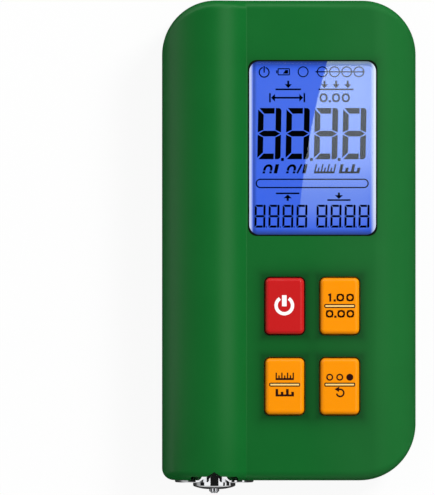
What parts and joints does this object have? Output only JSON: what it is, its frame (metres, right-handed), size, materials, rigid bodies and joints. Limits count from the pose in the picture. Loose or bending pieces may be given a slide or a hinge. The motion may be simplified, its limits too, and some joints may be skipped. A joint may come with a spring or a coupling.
{
  "type": "coating thickness gauge",
  "caption": "Hand-held digital coating-thickness gauge: flat-backed case with a tube down its left side, blue display, four keys and a sprung probe at the foot.",
  "frame": {"origin": "middle of the flat back that the gauge lies on", "axes": "+Z out of the face with the display and keys, +Y towards the top end with the charging port, away from the probe, +X to the right as the display is read"},
  "size_m": [0.0582, 0.113, 0.0242],
  "materials": {
    "case_green": "moulded, semi-gloss",
    "key_red": "moulded, semi-gloss",
    "key_orange": "moulded, semi-gloss",
    "clear_pane": "clear, polished",
    "lcd_blue": "backlit blue display with dark segments",
    "black_tape": "matt",
    "white_plastic": "moulded",
    "dark_plastic": "moulded",
    "grey_rubber": "soft",
    "board_green": "solder mask",
    "bright_steel": "turned and plated",
    "hard_steel": "ground",
    "dull_steel": "plain",
    "screw_steel": "black oxide",
    "copper_wire": "enamelled winding",
    "black_wire": "screened lead",
    "red_wire": "insulated wires",
    "cell_wrap": "printed-free sleeve"
  },
  "bodies": {
    "case": {"battery_cell": "cell_wrap", "battery_guard": "board_green", "battery_lead": "red_wire", "battery_plug": "white_plastic", "battery_socket": "white_plastic", "board_screw_foot": "screw_steel", "board_screw_left": "screw_steel", "board_screw_right": "screw_steel", "board_screw_top": "screw_steel", "buzzer": "dark_plastic", "calibrate_switch": "dark_plastic", "case_screw_foot_left": "screw_steel", "case_screw_foot_right": "screw_steel", "case_screw_top_left": "screw_steel", "case_screw_top_right": "screw_steel", "charging_chip": "dark_plastic", "contact_strip_foot": "grey_rubber", "contact_strip_top": "grey_rubber", "display_backlight": "white_plastic", "display_frame": "dark_plastic", "display_glass": "lcd_blue", "display_window": "clear_pane", "front_shell": "case_green", "main_board": "board_green", "microcontroller": "dark_plastic", "mode_switch": "dark_plastic", "power_switch": "dark_plastic", "probe_collar": "bright_steel", "probe_lead": "black_wire", "probe_plug": "white_plastic", "probe_sleeve": "dull_steel", "probe_socket": "white_plastic", "probe_spring": "dull_steel", "rear_shell": "case_green", "sleeve_cap": "dark_plastic", "unit_switch": "dark_plastic", "usb_shell": "dull_steel", "usb_tongue": "dark_plastic", "window_tape": "black_tape"},
    "power_key": {"power_key": "key_red", "power_plunger": "white_plastic"},
    "calibrate_key": {"calibrate_key": "key_orange", "calibrate_plunger": "white_plastic"},
    "unit_key": {"unit_key": "key_orange", "unit_plunger": "white_plastic"},
    "mode_key": {"mode_key": "key_orange", "mode_plunger": "white_plastic"},
    "probe": {"probe_head": "bright_steel", "probe_tip": "hard_steel", "coil_bobbin": "white_plastic", "sensing_coil": "copper_wire"}
  },
  "joints": [
    {"name": "power_press", "type": "slide", "parent": "case", "child": "power_key", "axis": [0, 0, -1], "range_m": [0, 0.0006], "stiffness_N_per_m": 3000, "springref_m": -0.0003},
    {"name": "calibrate_press", "type": "slide", "parent": "case", "child": "calibrate_key", "axis": [0, 0, -1], "range_m": [0, 0.0006], "stiffness_N_per_m": 3000, "springref_m": -0.0003},
    {"name": "unit_press", "type": "slide", "parent": "case", "child": "unit_key", "axis": [0, 0, -1], "range_m": [0, 0.0006], "stiffness_N_per_m": 3000, "springref_m": -0.0003},
    {"name": "mode_press", "type": "slide", "parent": "case", "child": "mode_key", "axis": [0, 0, -1], "range_m": [0, 0.0006], "stiffness_N_per_m": 3000, "springref_m": -0.0003},
    {"name": "probe_plunge", "type": "slide", "parent": "case", "child": "probe", "axis": [0, 1, 0], "range_m": [0, 0.0025], "stiffness_N_per_m": 1000, "springref_m": -0.001, "deforming": ["probe_spring"]}
  ]
}
